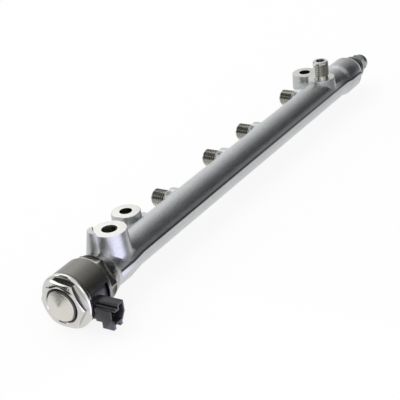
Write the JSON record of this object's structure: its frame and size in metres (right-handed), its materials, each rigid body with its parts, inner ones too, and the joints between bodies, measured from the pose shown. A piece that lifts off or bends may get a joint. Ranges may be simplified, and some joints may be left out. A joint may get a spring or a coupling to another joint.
{
  "type": "fuel rail",
  "caption": "Forged tubular fuel rail with threaded pipe unions, eyes on webs, a return port, a screwed-in solenoid pressure control valve and an end plug.",
  "frame": {"origin": "axis of the near mounting eye's bolt hole, on the face that sits on the engine", "axes": "+X along the rail from the control valve to the end plug, +Z along the bolts away from the engine, +Y the way the outlets point"},
  "size_m": [0.4036, 0.0635, 0.0441],
  "materials": {
    "forged_steel": "satin forged skin, machined faces brighter",
    "turned_steel": "turned",
    "hardened_steel": "ground",
    "magnet_iron": "turned",
    "spring_steel": "drawn wire",
    "shim_brass": "rolled",
    "bright_steel": "bright turned",
    "bright_plating": "bright plated",
    "black_can": "satin black",
    "bobbin_plastic": "moulded",
    "copper_wire": "enamelled copper wire",
    "black_plastic": "moulded, fine grain",
    "tinned_brass": "tin plated",
    "seal_rubber": "moulded",
    "backup_plastic": "cut",
    "plug_steel": "darkened"
  },
  "bodies": {
    "rail": {"rail_body": "forged_steel", "valve_body": "turned_steel", "valve_seat": "hardened_steel", "armature_spring": "spring_steel", "guide_tube": "turned_steel", "pole_shim": "shim_brass", "pole_core": "bright_steel", "spring_adjuster": "turned_steel", "retaining_nut": "bright_plating", "solenoid_can": "black_can", "coil_bobbin": "bobbin_plastic", "coil_winding": "copper_wire", "connector_housing": "black_plastic", "lower_terminal": "tinned_brass", "upper_terminal": "tinned_brass", "coil_seal_front": "seal_rubber", "coil_seal_rear": "seal_rubber", "stem_seal_ring": "seal_rubber", "stem_backup_ring": "backup_plastic", "end_plug": "plug_steel"},
    "valve_plunger": {"armature": "magnet_iron", "valve_needle": "hardened_steel", "valve_ball": "hardened_steel"}
  },
  "joints": [
    {"name": "valve_stroke", "type": "slide", "parent": "rail", "child": "valve_plunger", "axis": [-1, 0, 0], "range_m": [0, 0.0003], "stiffness_N_per_m": 2000, "springref_m": -0.002, "deforming": ["armature_spring"]}
  ]
}
